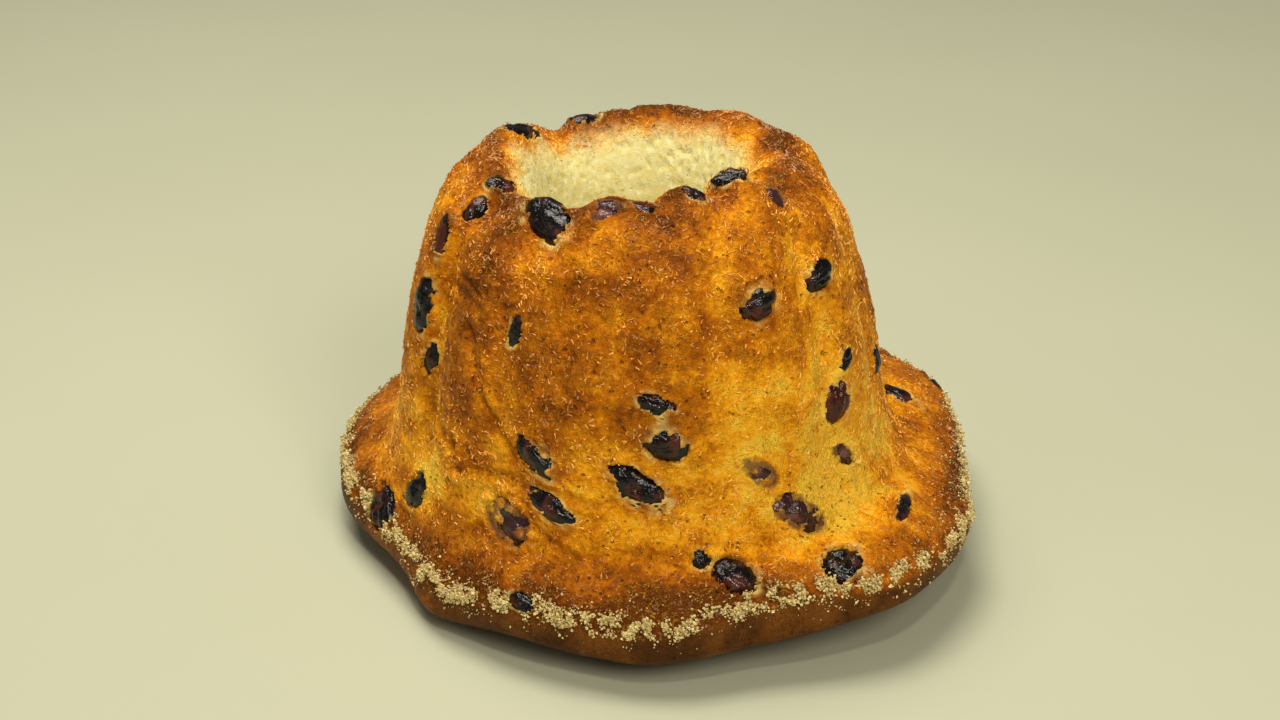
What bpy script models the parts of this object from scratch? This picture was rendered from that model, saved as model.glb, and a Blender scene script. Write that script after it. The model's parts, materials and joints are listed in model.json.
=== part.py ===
"""Kugelhopf: a small fluted ring cake with raisins, turned out of its mould with the narrow end up.

One solid is the cake: a hat shape with a fluted crown, a wide uneven brim and a hole through the
middle. Each raisin that shows is a solid of its own, sitting in a pocket of the crust.

Units are metres, +Z is up, and the cake stands on Z = 0. The origin is the middle of the cake's
box, seen from above. An azimuth is in degrees, 0 at the front (-Y), growing towards +X.
"""

import math
import random

import bmesh
import bpy
from mathutils import Matrix, Vector, noise

# Cross-section of the evenly turned cake, as (radius, height) from the foot of the hole up its
# wall, over the crest, down the outside and back under the brim. A smooth closed curve runs
# through the points, and a station counts them: 6 is the crest, 16 the widest place.
SECTION = (
    (0.0170, 0.0020),
    (0.0155, 0.0090),
    (0.0165, 0.0350),
    (0.0200, 0.0700),
    (0.0240, 0.0950),
    (0.0295, 0.1080),
    (0.0370, 0.1145),
    (0.0450, 0.1110),
    (0.0535, 0.1020),
    (0.0590, 0.0880),
    (0.0640, 0.0700),
    (0.0660, 0.0520),
    (0.0685, 0.0400),
    (0.0720, 0.0320),
    (0.0790, 0.0270),
    (0.0855, 0.0215),
    (0.0870, 0.0160),
    (0.0840, 0.0113),
    (0.0705, 0.0045),
    (0.0640, 0.0010),
    (0.0450, 0.0000),
    (0.0300, 0.0000),
    (0.0210, 0.0004),
)

# Stations at which the mesh has a ring of points.
RINGS = (
    0.0, 2.0, 3.0, 4.0, 5.0, 5.5, 6.0, 6.5, 7.0, 7.5, 8.0, 8.5, 9.0, 10.0, 11.0,
    12.0, 13.0, 14.0, 14.6, 15.2, 16.0, 17.0, 19.0, 20.0, 21.0, 22.0,
)
STEPS_PER_RIB = 6

# Thirteen ribs, with grooves between them. The depths go round from the first groove.
GROOVE_DEPTHS = (
    0.0012, 0.0014, 0.0026, 0.0022, 0.0026, 0.0030, 0.0024,
    0.0028, 0.0026, 0.0030, 0.0028, 0.0042, 0.0018,
)
FIRST_GROOVE = -9.0
GROOVE_HALF_WIDTH = 0.20
RIM_NOTCH = 0.5

# Unevenness, as values at even spacing round the cake from the front.
BRIM_REACH = (
    -0.0020, -0.0015, 0.0070, 0.0050, 0.0015, 0.0070, 0.0120, 0.0090,
    0.0050, 0.0030, 0.0045, 0.0040, -0.0020, -0.0110, -0.0095, -0.0065,
)
BRIM_LIFT = (
    -0.0030, -0.0005, 0.0035, 0.0015, 0.0015, 0.0025, 0.0020, 0.0010,
    0.0005, 0.0000, -0.0005, -0.0020, -0.0040, -0.0050, -0.0055, -0.0030,
)
CROWN_REACH = (0.0000, 0.0000, -0.0030, 0.0000, -0.0005, 0.0025, 0.0010, -0.0015)
CROWN_LIFT = (0.0000, 0.0000, -0.0020, -0.0015, -0.0035, -0.0040, 0.0005, 0.0000)
RIM_LIFT = (
    0.0011, 0.0005, 0.0035, 0.0022, -0.0010, 0.0039, 0.0044, 0.0015, -0.0010, 0.0023, 0.0010, 0.0003,
    0.0000, -0.0001, 0.0009, 0.0021, 0.0007, 0.0025, 0.0018, 0.0011, 0.0009, 0.0018, 0.0013, 0.0008,
    0.0017, 0.0017, -0.0001, -0.0006, 0.0003, -0.0016, -0.0005, 0.0013, 0.0025, 0.0023, 0.0010, -0.0004,
    -0.0010, -0.0020, -0.0030, -0.0046, -0.0037, -0.0038, -0.0034, -0.0029, -0.0041, -0.0026, 0.0006, 0.0023,
)
HOLE_SHIFT = -0.0035
LUMP_HEIGHT = 0.0009
LUMP_LENGTH = 0.021
LUMP_APART = (5.0, 3.0, 1.0)
FOOT_BULGE = 0.0035
FOOT_BULGE_AZIMUTH = -47.0
FOOT_BULGE_HALF_WIDTH = 7.0

# Where each kind of unevenness fades in, by the even shape's radius or height.
FLUTED_RADII = (0.030, 0.050)
FLUTED_HEIGHTS = (0.024, 0.044)
GROOVE_FADE_RADII = (0.062, 0.084)
GROOVE_ON_BRIM = 0.3
BRIM_RADII = (0.066, 0.086)
BRIM_LIFT_RADII = (0.060, 0.086)
CROWN_RADII = (0.035, 0.060)
CROWN_HEIGHTS = (0.010, 0.030)
CROWN_LIFT_HEIGHTS = (0.040, 0.114)
CREST_HEIGHTS = (0.096, 0.112)
HOLE_RADII = (0.032, 0.050)
HOLE_HEIGHTS = (0.020, 0.060)
UNDER_BRIM_RADII = (0.062, 0.073)
UNDER_BRIM_HEIGHTS = (0.009, 0.018)
FLOOR_HEIGHTS = (0.001, 0.012)

# The even shape's axis, seen from the middle of the finished cake's box.
AXIS_X = -0.0011
AXIS_Y = -0.0033

# Raisins in sight: name, azimuth, station, length, width, turn from sideways (anticlockwise, seen
# from outside), how far it stands out of the crust, and the kind.
RAISINS = (
    ("rim_big", -34.2, 6.68, 0.0185, 0.0096, -16, 0.0016, "dark"),
    ("rim_pink", -12.2, 6.57, 0.0098, 0.0070, 12, 0.0005, "veiled"),
    ("rim_sliver", 1.8, 6.33, 0.0062, 0.0046, -22, 0.0010, "dark"),
    ("rim_brown", 20.5, 6.32, 0.0074, 0.0048, -46, 0.0012, "dark"),
    ("rim_thin", 37.8, 6.20, 0.0105, 0.0050, -36, 0.0012, "dark"),
    ("rim_left", -69.5, 6.15, 0.0084, 0.0046, 52, 0.0010, "dark"),
    ("rim_grey", 50.6, 6.92, 0.0096, 0.0060, 84, 0.0004, "veiled"),
    ("groove_top", -69.8, 7.42, 0.0080, 0.0050, 82, 0.0016, "dark"),
    ("groove_upper", -71.4, 8.40, 0.0132, 0.0054, 86, 0.0014, "dark"),
    ("groove_middle", -71.7, 9.58, 0.0160, 0.0080, 84, 0.0016, "dark"),
    ("groove_low", -67.4, 10.27, 0.0104, 0.0054, 75, 0.0008, "dark"),
    ("rib_small", -34.8, 9.23, 0.0100, 0.0046, 78, 0.0012, "dark"),
    ("crown_round", 28.7, 8.60, 0.0115, 0.0104, 40, 0.0016, "dark"),
    ("crown_corner", 51.2, 8.64, 0.0105, 0.0084, 22, 0.0016, "dark"),
    ("red_tail", 54.4, 9.95, 0.0072, 0.0044, 36, 0.0010, "dark"),
    ("red_large", 50.5, 10.48, 0.0132, 0.0092, 80, 0.0016, "red"),
    ("side_thin", 80.6, 10.64, 0.0098, 0.0050, 96, 0.0012, "dark"),
    ("side_dark", 105.5, 13.42, 0.0145, 0.0068, 38, 0.0014, "dark"),
    ("foot_wavy", 2.4, 9.91, 0.0116, 0.0052, -20, 0.0012, "dark"),
    ("foot_middle", 4.0, 10.42, 0.0128, 0.0092, -28, 0.0016, "dark"),
    ("foot_left", -25.3, 10.82, 0.0146, 0.0074, -42, 0.0015, "dark"),
    ("foot_centre", -2.4, 11.13, 0.0182, 0.0096, -33, 0.0016, "dark"),
    ("foot_low", -21.4, 11.76, 0.0154, 0.0068, -27, 0.0013, "dark"),
    ("veil_left", -32.0, 12.46, 0.0165, 0.0105, -20, 0.0006, "veiled"),
    ("veil_right", 25.8, 11.12, 0.0124, 0.0068, -42, 0.0004, "veiled"),
    ("pink_right", 33.8, 12.27, 0.0180, 0.0094, -42, 0.0008, "veiled"),
    ("pink_small", 50.4, 11.47, 0.0088, 0.0048, -48, 0.0006, "veiled"),
    ("brim_slit", 57.6, 13.66, 0.0165, 0.0044, 16, 0.0012, "dark"),
    ("brim_round", 36.8, 14.20, 0.0130, 0.0115, 20, 0.0016, "dark"),
    ("pair_small", 10.9, 12.96, 0.0058, 0.0050, -30, 0.0010, "dark"),
    ("pair_large", 17.3, 13.63, 0.0124, 0.0092, -36, 0.0015, "dark"),
    ("edge_high", -62.6, 13.00, 0.0136, 0.0094, 48, 0.0017, "dark"),
    ("edge_low", -73.2, 14.62, 0.0138, 0.0110, -60, 0.0016, "dark"),
    ("crumb_dark", -24.0, 14.78, 0.0080, 0.0050, -10, 0.0010, "dark"),
    ("rear_rim_left", -121.0, 5.88, 0.0160, 0.0070, -12, 0.0014, "dark"),
    ("rear_rim_right", -157.0, 6.15, 0.0095, 0.0060, -5, 0.0012, "dark"),
)

# Raisins on the side out of sight, spread by a seeded rule.
REAR_RAISINS = 17
REAR_AZIMUTHS = (114.0, 246.0)
REAR_STATIONS = (6.6, 15.0)
REAR_LENGTHS = (0.0085, 0.0150)
REAR_APART = 0.0205
REAR_STANDING_OUT = (0.0008, 0.0018)
REAR_SEED = 7

RAISIN_FLATNESS = 0.56
RAISIN_DENT = 0.16
POCKET_GAP = 0.0004

CRUST_COLOUR = (0.50, 0.19, 0.030, 1.0)
RAISIN_COLOURS = {
    "dark": (0.012, 0.008, 0.010, 1.0),
    "red": (0.080, 0.014, 0.008, 1.0),
    "veiled": (0.200, 0.085, 0.060, 1.0),
}


def smooth(value, low, high):
    """0 below low, 1 above high, and an even S between."""
    share = min(max((value - low) / (high - low), 0.0), 1.0)
    return share * share * (3.0 - 2.0 * share)


def on_curve(points, station):
    """The smooth closed curve through the points, at this station."""
    first = math.floor(station)
    u = station - first
    a, b, c, d = (points[(first + step) % len(points)] for step in (-1, 0, 1, 2))
    return 0.5 * (2 * b + (c - a) * u + (2 * a - 5 * b + 4 * c - d) * u**2 + (3 * b - a - 3 * c + d) * u**3)


def round_cake(values, azimuth):
    """A value that goes smoothly round the cake, from values at even spacing."""
    return on_curve(values, azimuth / 360.0 * len(values))


def turned(station, azimuth):
    """A point of the evenly turned shape."""
    radius, _, height = on_curve([Vector((r, 0.0, z)) for r, z in SECTION], station)
    return Vector((radius * math.sin(math.radians(azimuth)), -radius * math.cos(math.radians(azimuth)), height))


def groove_depth(azimuth):
    """How deep the nearest groove cuts here."""
    ribs = len(GROOVE_DEPTHS)
    place = (azimuth - FIRST_GROOVE) / (360.0 / ribs)
    nearest = round(place)
    return GROOVE_DEPTHS[nearest % ribs] * math.exp(-(((place - nearest) / GROOVE_HALF_WIDTH) ** 2))


def pressed(point):
    """The even shape's point moved to where it lies on the real, uneven cake."""
    even_radius = math.hypot(point.x, point.y)
    height = point.z
    azimuth = math.degrees(math.atan2(point.x, -point.y))
    depth = groove_depth(azimuth)
    brim = smooth(even_radius, *BRIM_RADII)
    off_floor = smooth(height, *FLOOR_HEIGHTS)
    fluted = smooth(even_radius, *FLUTED_RADII) * smooth(height, *FLUTED_HEIGHTS)
    crown = smooth(even_radius, *CROWN_RADII) * smooth(height, *CROWN_HEIGHTS) * (1.0 - brim)
    under_brim = smooth(even_radius, *UNDER_BRIM_RADII) * (1.0 - smooth(height, *UNDER_BRIM_HEIGHTS))
    inner = smooth(height, *HOLE_HEIGHTS) * (1.0 - smooth(even_radius, *HOLE_RADII))
    from_bulge = (azimuth - FOOT_BULGE_AZIMUTH) / FOOT_BULGE_HALF_WIDTH

    radius = even_radius
    radius -= depth * fluted * (1.0 - (1.0 - GROOVE_ON_BRIM) * smooth(even_radius, *GROOVE_FADE_RADII))
    radius += brim * round_cake(BRIM_REACH, azimuth)
    radius += crown * round_cake(CROWN_REACH, azimuth)
    radius += under_brim * FOOT_BULGE * math.exp(-(from_bulge**2))
    radius += off_floor * LUMP_HEIGHT * noise.noise(point / LUMP_LENGTH)

    rise = smooth(even_radius, *BRIM_LIFT_RADII) * round_cake(BRIM_LIFT, azimuth)
    rise += smooth(height, *CROWN_LIFT_HEIGHTS) * round_cake(CROWN_LIFT, azimuth)
    rise += smooth(height, *CREST_HEIGHTS) * (round_cake(RIM_LIFT, azimuth) - RIM_NOTCH * depth)
    rise += off_floor * LUMP_HEIGHT * noise.noise(point / LUMP_LENGTH + Vector(LUMP_APART))

    sideways = HOLE_SHIFT * inner
    return Vector((
        AXIS_X + radius * math.sin(math.radians(azimuth)) + sideways,
        AXIS_Y - radius * math.cos(math.radians(azimuth)),
        max(height + rise, 0.0),
    ))


def crust_frame(station, azimuth, turn, sunk):
    """A frame sunk this deep in the crust: X along the turned length, Z straight out of the crust."""
    here = pressed(turned(station, azimuth))
    sideways = (pressed(turned(station, azimuth + 2.0)) - pressed(turned(station, azimuth - 2.0))).normalized()
    upwards = pressed(turned(station - 0.15, azimuth)) - pressed(turned(station + 0.15, azimuth))
    outwards = sideways.cross(upwards).normalized()
    upwards = outwards.cross(sideways)
    axes = Matrix((sideways, upwards, outwards)).transposed().to_4x4()
    return Matrix.Translation(here - outwards * sunk) @ axes @ Matrix.Rotation(math.radians(turn), 4, "Z")


def new_collection(name):
    made = bpy.data.collections.new(name)
    bpy.context.scene.collection.children.link(made)
    return made


def material(name, colour, roughness):
    made = bpy.data.materials.new(name)
    made.use_nodes = True
    shader = made.node_tree.nodes["Principled BSDF"]
    shader.inputs["Base Color"].default_value = colour
    shader.inputs["Roughness"].default_value = roughness
    shader.inputs["Metallic"].default_value = 0.0
    made.diffuse_color = colour
    return made


def turned_cake(parts):
    """The cake before its pockets: the section turned round the axis, then pressed uneven."""
    section = bmesh.new()
    corners = [section.verts.new(turned(station, 90.0)) for station in RINGS]
    for first, second in zip(corners, corners[1:] + corners[:1]):
        section.edges.new((first, second))
    mesh = bpy.data.meshes.new("cake_section")
    section.to_mesh(mesh)
    section.free()
    guide = bpy.data.objects.new("cake_section", mesh)
    parts.objects.link(guide)
    screw = guide.modifiers.new("Turn", "SCREW")
    screw.axis = "Z"
    screw.steps = len(GROOVE_DEPTHS) * STEPS_PER_RIB
    screw.render_steps = screw.steps
    screw.use_merge_vertices = True
    screw.merge_threshold = 0.00001
    bpy.context.view_layer.update()
    whole = bpy.data.meshes.new_from_object(guide.evaluated_get(bpy.context.evaluated_depsgraph_get()))
    bpy.data.objects.remove(guide)
    whole.name = "cake"
    for vertex in whole.vertices:
        vertex.co = pressed(vertex.co)
    whole.shade_smooth()
    cake = bpy.data.objects.new("cake", whole)
    parts.objects.link(cake)
    return cake


def raisin_mesh(name, size, number):
    """A dented ellipsoid of this length, width and thickness; the number picks its dents."""
    shape = bmesh.new()
    bmesh.ops.create_icosphere(shape, subdivisions=2, radius=1.0)
    for vertex in shape.verts:
        out = vertex.co.normalized()
        dent = 1.0 + RAISIN_DENT * noise.noise(out * 1.3 + Vector((3.7 * number, 1.9 * number, 0.0)))
        vertex.co = Vector([0.5 * side * part * dent for side, part in zip(size, out)])
    mesh = bpy.data.meshes.new(name)
    shape.to_mesh(mesh)
    shape.free()
    mesh.shade_smooth()
    return mesh


def rear_raisins():
    """Rows like those of RAISINS for the side out of sight, none nearer another than REAR_APART."""
    draw = random.Random(REAR_SEED)
    taken = [pressed(turned(row[2], row[1])) for row in RAISINS]
    rows = []
    while len(rows) < REAR_RAISINS:
        azimuth = draw.uniform(*REAR_AZIMUTHS)
        station = draw.uniform(*REAR_STATIONS)
        length = draw.uniform(*REAR_LENGTHS)
        width = length * draw.uniform(0.55, 0.85)
        turn = draw.uniform(-80, 80)
        stands_out = draw.uniform(*REAR_STANDING_OUT)
        kind = draw.choice(("dark", "dark", "dark", "red"))
        place = pressed(turned(station, azimuth))
        if min((place - other).length for other in taken) > REAR_APART:
            taken.append(place)
            rows.append((f"rear_{len(rows) + 1:02d}", azimuth, station, length, width, turn, stands_out, kind))
    return rows


def add_raisin(parts, pockets, row, number, finish):
    """One raisin, and the cutter a little larger that makes its pocket."""
    name, azimuth, station, length, width, turn, stands_out, kind = row
    size = (length, width, width * RAISIN_FLATNESS)
    frame = crust_frame(station, azimuth, turn, 0.5 * size[2] - stands_out)
    raisin = bpy.data.objects.new(f"raisin_{name}", raisin_mesh(f"raisin_{name}", size, number))
    raisin.data.materials.append(finish[kind])
    parts.objects.link(raisin)
    roomy = [side + 2.0 * POCKET_GAP for side in size]
    pocket = bpy.data.objects.new(f"pocket_{name}", raisin_mesh(f"pocket_{name}", roomy, number))
    pocket.hide_render = True
    pocket.display_type = "WIRE"
    pockets.objects.link(pocket)
    for item in (raisin, pocket):
        item.location = frame.to_translation()
        item.rotation_euler = frame.to_euler()


def build():
    for old in list(bpy.data.objects):
        bpy.data.objects.remove(old)
    parts = new_collection("kugelhopf")
    pockets = new_collection("pockets")
    cake = turned_cake(parts)
    cake.data.materials.append(material("crust", CRUST_COLOUR, 0.5))
    finish = {kind: material(f"raisin_{kind}", colour, 0.35) for kind, colour in RAISIN_COLOURS.items()}
    for number, row in enumerate(list(RAISINS) + rear_raisins()):
        add_raisin(parts, pockets, row, number, finish)
    cut = cake.modifiers.new("Pockets", "BOOLEAN")
    cut.operation = "DIFFERENCE"
    cut.operand_type = "COLLECTION"
    cut.collection = pockets
    cut.solver = "EXACT"


build()
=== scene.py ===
"""The looks of a small kugelhopf: its baked crust, pale crumb, raisins and the crumbs along its brim.

Units are metres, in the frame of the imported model: +Z up, the cake on Z = 0, its front towards -Y.
An azimuth is in degrees, 0 at the front, growing towards +X.
"""

import json
import math
import random

import bmesh
import bpy
import numpy as np
from mathutils import Matrix, Vector, noise
from mathutils.bvhtree import BVHTree


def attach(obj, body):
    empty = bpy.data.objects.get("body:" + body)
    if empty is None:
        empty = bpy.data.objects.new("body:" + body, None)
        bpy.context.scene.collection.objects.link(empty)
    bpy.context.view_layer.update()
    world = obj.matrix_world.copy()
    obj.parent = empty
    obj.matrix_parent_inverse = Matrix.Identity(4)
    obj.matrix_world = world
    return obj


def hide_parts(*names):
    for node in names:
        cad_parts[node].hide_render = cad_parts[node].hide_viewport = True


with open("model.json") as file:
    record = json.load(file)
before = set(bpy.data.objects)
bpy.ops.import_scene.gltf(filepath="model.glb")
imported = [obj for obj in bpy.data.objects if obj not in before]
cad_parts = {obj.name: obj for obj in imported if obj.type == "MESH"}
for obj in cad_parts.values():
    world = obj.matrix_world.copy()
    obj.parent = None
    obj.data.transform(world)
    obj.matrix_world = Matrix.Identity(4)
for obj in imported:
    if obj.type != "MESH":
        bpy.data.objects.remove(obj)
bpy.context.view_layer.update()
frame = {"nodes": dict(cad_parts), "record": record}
kind_of = {part["node"]: part["material_slot"] for part in frame["record"]["subparts"]}

# The view. The camera stands where the photo's did, a good half metre in front of the cake and
# looking down on it. A large soft lamp hangs over the back left, another lights the front from the
# right, a weak one fills the left, and a small one gives the raisins their glints.
AXIS_X = -0.0011
AXIS_Y = -0.0033
CAMERA_FROM_AXIS = (-0.0017, -0.6115, 0.3538)
CAMERA_PITCH = 26.2
CAMERA_LENS = 70.3
CAMERA_SENSOR = 36.0
NEAREST_SEEN = 0.01
LAMPS = (
    ("lamp_over", (-0.16, 0.12, 0.95), 0.60, 8.2, (1.0, 0.95, 0.84)),
    ("lamp_front", (0.40, -0.95, 0.85), 0.50, 6.9, (1.0, 0.94, 0.82)),
    ("lamp_left", (-0.90, -0.55, 0.60), 0.50, 0.6, (1.0, 0.93, 0.80)),
    ("lamp_glint", (0.08, -0.80, 1.15), 0.10, 3.0, (1.0, 0.95, 0.86)),
)
LAMPS_AIM = (0.0, 0.0, 0.05)
WORLD_COLOUR = (1.0, 0.96, 0.86, 1.0)
WORLD_STRENGTH = 0.14

camera = bpy.data.objects.new("camera", bpy.data.cameras.new("camera"))
bpy.context.scene.collection.objects.link(camera)
camera.data.sensor_width = CAMERA_SENSOR
camera.data.lens = CAMERA_LENS
camera.data.clip_start = NEAREST_SEEN
camera.location = Vector(CAMERA_FROM_AXIS) + Vector((AXIS_X, AXIS_Y, 0.0))
camera.rotation_euler = (math.radians(90.0 - CAMERA_PITCH), 0.0, 0.0)
bpy.context.scene.camera = camera
bpy.context.scene.view_settings.view_transform = "Standard"

for name, place, width, power, colour in LAMPS:
    lamp = bpy.data.lights.new(name, "AREA")
    lamp.shape = "DISK"
    lamp.size = width
    lamp.energy = power
    lamp.color = colour
    holder = bpy.data.objects.new(name, lamp)
    holder.location = place
    holder.rotation_euler = (Vector(LAMPS_AIM) - holder.location).to_track_quat("-Z", "Y").to_euler()
    bpy.context.scene.collection.objects.link(holder)

world = bpy.data.worlds.new("soft_light")
world.use_nodes = True
world.node_tree.nodes["Background"].inputs["Color"].default_value = WORLD_COLOUR
world.node_tree.nodes["Background"].inputs["Strength"].default_value = WORLD_STRENGTH
bpy.context.scene.world = world


# The floor. A plain pale sheet under the cake, matt, with a faint unevenness in its tone.
FLOOR_SIDE = 8.0
FLOOR_SQUARES = 8
FLOOR_TONES_PER_METRE = 6.0
FLOOR_ROUGHNESS = 0.75
FLOOR_SPECULAR = 0.2
FLOOR_COLOURS = ((0.50, 0.51, 0.36, 1.0), (0.55, 0.56, 0.41, 1.0))


def new_material(name, roughness, specular=0.5):
    """A material, its node tree and its Principled shader."""
    made = bpy.data.materials.new(name)
    made.use_nodes = True
    shader = made.node_tree.nodes["Principled BSDF"]
    shader.inputs["Roughness"].default_value = roughness
    shader.inputs["Specular IOR Level"].default_value = specular
    return made, made.node_tree, shader


def add_node(tree, kind, joined=(), **settings):
    """A node of this kind; joined gives its input sockets values or other nodes' outputs."""
    made = tree.nodes.new(kind)
    for setting, value in settings.items():
        setattr(made, setting, value)
    for socket, value in dict(joined).items():
        if isinstance(value, bpy.types.NodeSocket):
            tree.links.new(value, made.inputs[socket])
        else:
            made.inputs[socket].default_value = value
    return made


def add_maths(tree, operation, first, second=0.0, third=0.0, clamp=False):
    """The output of a Math node."""
    joined = {0: first, 1: second, 2: third}
    return add_node(tree, "ShaderNodeMath", joined, operation=operation, use_clamp=clamp).outputs[0]


def add_between(tree, value, low, high):
    """0 where value is below low, 1 above high, smooth between."""
    joined = {"Value": value, "From Min": low, "From Max": high}
    return add_node(tree, "ShaderNodeMapRange", joined, interpolation_type="SMOOTHSTEP").outputs[0]


def add_blend(tree, share, first, second, way="MIX"):
    """The colour of a Mix node."""
    mix = add_node(tree, "ShaderNodeMix", {"Factor": share}, data_type="RGBA", blend_type=way)
    for socket, colour in ((mix.inputs[6], first), (mix.inputs[7], second)):
        if isinstance(colour, bpy.types.NodeSocket):
            tree.links.new(colour, socket)
        else:
            socket.default_value = colour
    return mix.outputs[2]


def add_noise(tree, place, per_metre, detail=2.0, roughness=0.5, distortion=0.0):
    """The value of a Noise texture on these coordinates."""
    joined = {"Vector": place, "Scale": per_metre, "Detail": detail, "Roughness": roughness}
    joined["Distortion"] = distortion
    return add_node(tree, "ShaderNodeTexNoise", joined).outputs[0]


shape = bmesh.new()
bmesh.ops.create_grid(shape, x_segments=FLOOR_SQUARES, y_segments=FLOOR_SQUARES, size=FLOOR_SIDE / 2.0)
floor_mesh = bpy.data.meshes.new("floor")
shape.to_mesh(floor_mesh)
shape.free()
floor = bpy.data.objects.new("floor", floor_mesh)
bpy.context.scene.collection.objects.link(floor)
floor_paint, tree, shader = new_material("pale_floor", FLOOR_ROUGHNESS, FLOOR_SPECULAR)
place = add_node(tree, "ShaderNodeTexCoord").outputs["Object"]
tone = add_noise(tree, place, FLOOR_TONES_PER_METRE, 3.0)
tree.links.new(add_blend(tree, tone, *FLOOR_COLOURS), shader.inputs["Base Color"])
floor.data.materials.append(floor_paint)


# The raisins. Dried grapes, near black with a sticky gloss and blue-grey patches, partly bloom and
# partly painted sheen; a few are red-brown. Their skin is folded into deep wrinkles that run mostly
# lengthwise. Each lies in its own dent.
MERGE_WITHIN = 0.00001
SKIN_SMOOTHING = 2
SKIN_REGROW = 1.06
FOLD_WIDTH = 0.0034
FOLD_EDGE = 0.16
FOLD_DEPTH = 0.00105
FOLD_LEVEL = 0.35
CREASE_WIDTH = 0.0014
CREASE_EDGE = 0.20
CREASE_DEPTH = 0.00030
FOLD_STRETCH = 2.2
KNOB_LENGTH = 0.0045
KNOB_HEIGHT = 0.00045
FULL_FOLDS_FROM = 0.0085
FOLDS_APART, CREASES_APART, KNOBS_APART = 1000.0, 700.0, 900.0
RAISIN_COLOURS = {
    "raisin_dark": ((0.003, 0.002, 0.0025, 1.0), (0.100, 0.018, 0.008, 1.0)),
    "raisin_red": ((0.050, 0.005, 0.001, 1.0), (0.180, 0.020, 0.003, 1.0)),
    "raisin_veiled": ((0.040, 0.012, 0.012, 1.0), (0.200, 0.075, 0.060, 1.0)),
}
# Blue-grey mixed into the skin in patches: partly the bloom, partly a painted sheen.
BLOOM_AND_SHEEN_COLOUR = (0.020, 0.024, 0.034, 1.0)
SKIN_GLOSS = 0.06
BLOOM_DULLNESS = 0.18
BLOOM_AND_SHEEN_SHARE = 0.32
SKIN_SPECULAR = 0.40
THIN_PER_METRE, THIN_LIMITS = 210.0, (0.48, 0.72)
BLOOM_AND_SHEEN_PER_METRE, BLOOM_AND_SHEEN_LIMITS = 420.0, (0.56, 0.76)
GRAIN_PER_METRE, GRAIN_HEIGHT = 2600.0, 0.06
WRINKLES_PER_METRE, WRINKLE_TWIST = 800.0, 1.5
SKIN_BUMP, SKIN_BUMP_STRENGTH = 0.0006, 0.4


def noise_at(points, length, apart=(0.0, 0.0, 0.0)):
    """Smooth noise from about -1 to 1 at each point, with lumps of this length."""
    return np.array([noise.noise(p) for p in (np.asarray(points) / length + np.asarray(apart)).tolist()])


def coordinates(mesh):
    found = np.empty(len(mesh.vertices) * 3)
    mesh.vertices.foreach_get("co", found)
    return found.reshape(-1, 3)


def linked_object(name, mesh):
    made = bpy.data.objects.new(name, mesh)
    bpy.context.scene.collection.objects.link(made)
    return made


def made_finer(mesh, kind, levels):
    """The mesh after this kind of subdivision."""
    holder = linked_object("to_be_finer", mesh)
    finer = holder.modifiers.new("Finer", "SUBSURF")
    finer.subdivision_type = kind
    finer.levels = levels
    finer.render_levels = levels
    bpy.context.view_layer.update()
    made = bpy.data.meshes.new_from_object(holder.evaluated_get(bpy.context.evaluated_depsgraph_get()))
    bpy.data.objects.remove(holder)
    bpy.data.meshes.remove(mesh)
    return made


def skinned_raisin(node):
    """A wrinkled copy of a raisin's solid, as an object."""
    shape = bmesh.new()
    shape.from_mesh(node.data)
    bmesh.ops.remove_doubles(shape, verts=shape.verts, dist=MERGE_WITHIN)
    bmesh.ops.recalc_face_normals(shape, faces=shape.faces)
    mesh = bpy.data.meshes.new(node.name)
    shape.to_mesh(mesh)
    shape.free()
    mesh = made_finer(mesh, "CATMULL_CLARK", SKIN_SMOOTHING)
    points = coordinates(mesh)
    centre = points.mean(axis=0)
    out = points - centre
    long_axis = np.linalg.eigh(out.T @ out)[1][:, 2]
    along = (out @ long_axis)[:, None] * long_axis
    folded = out - along + along / FOLD_STRETCH
    out *= SKIN_REGROW
    direction = out / np.linalg.norm(out, axis=1)[:, None]
    folds = np.exp(-((noise_at(folded, FOLD_WIDTH, centre * FOLDS_APART) / FOLD_EDGE) ** 2))
    creases = np.exp(-((noise_at(folded, CREASE_WIDTH, centre * CREASES_APART) / CREASE_EDGE) ** 2))
    width = float(np.ptp(out @ np.linalg.eigh(out.T @ out)[1][:, 1]))
    full = min(1.0, width / FULL_FOLDS_FROM)
    inwards = FOLD_DEPTH * full * (folds - FOLD_LEVEL) + CREASE_DEPTH * creases
    inwards -= KNOB_HEIGHT * full * noise_at(out, KNOB_LENGTH, centre * KNOBS_APART)
    points = centre + out - direction * inwards[:, None]
    mesh.vertices.foreach_set("co", points.ravel())
    mesh.update()
    mesh.shade_smooth()
    return linked_object(node.name + "_skin", mesh)


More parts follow.
